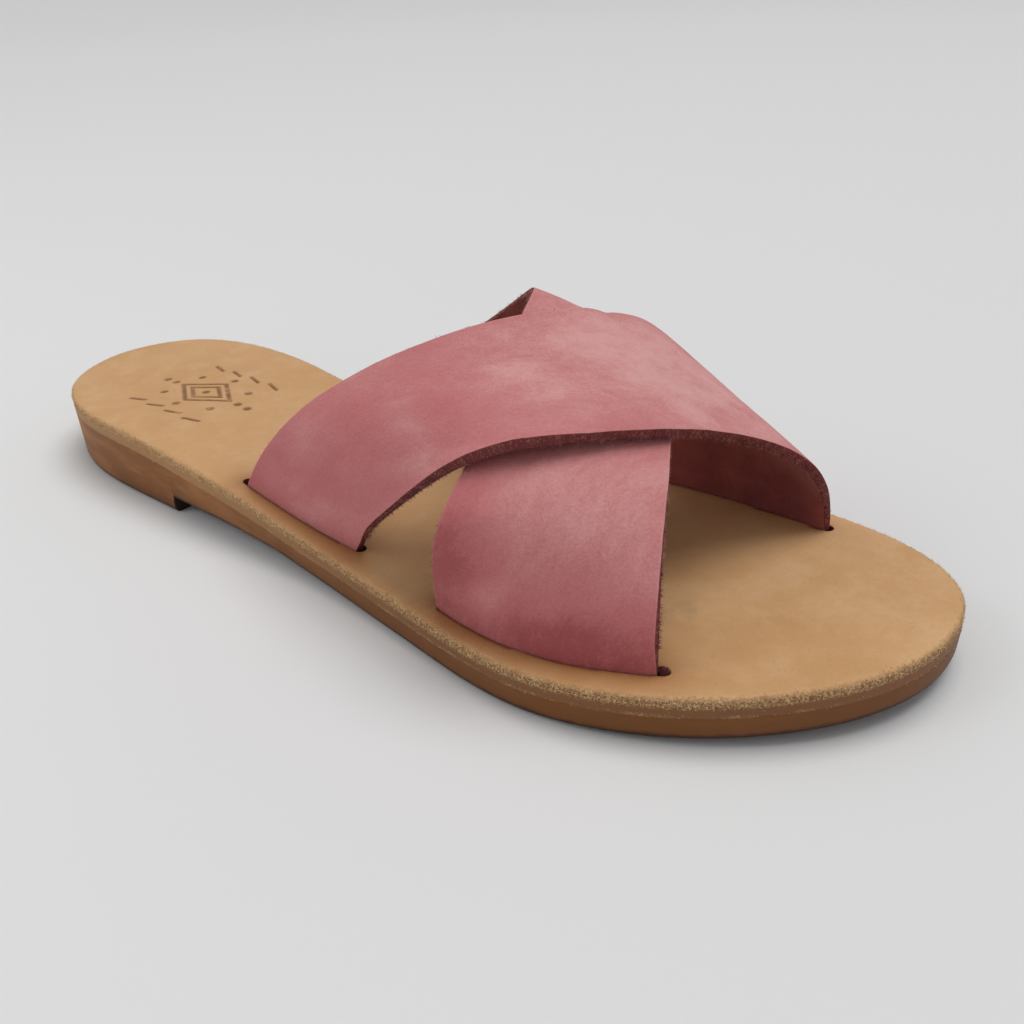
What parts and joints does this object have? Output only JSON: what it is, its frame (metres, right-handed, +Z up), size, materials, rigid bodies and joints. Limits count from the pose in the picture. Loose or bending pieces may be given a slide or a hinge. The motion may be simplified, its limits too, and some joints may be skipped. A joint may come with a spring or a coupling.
{
  "type": "cross strap sandal",
  "caption": "Right foot slide sandal: two crossing nubuck straps tucked through slots in a leather insole, on a moulded sole with a low heel.",
  "frame": {"origin": "on the floor, under the middle of the sole's length and width", "axes": "+X to the toe, +Y to the inner side of the foot, +Z up"},
  "size_m": [0.2554, 0.0876, 0.0596],
  "materials": {
    "outsole_unit": "satin",
    "insole_leather": "smooth, matt, vegetable tanned",
    "strap_nubuck": "nubuck, matt"
  },
  "bodies": {
    "root": {"outsole": "outsole_unit", "insole": "insole_leather", "upper": "strap_nubuck"}
  },
  "joints": []
}
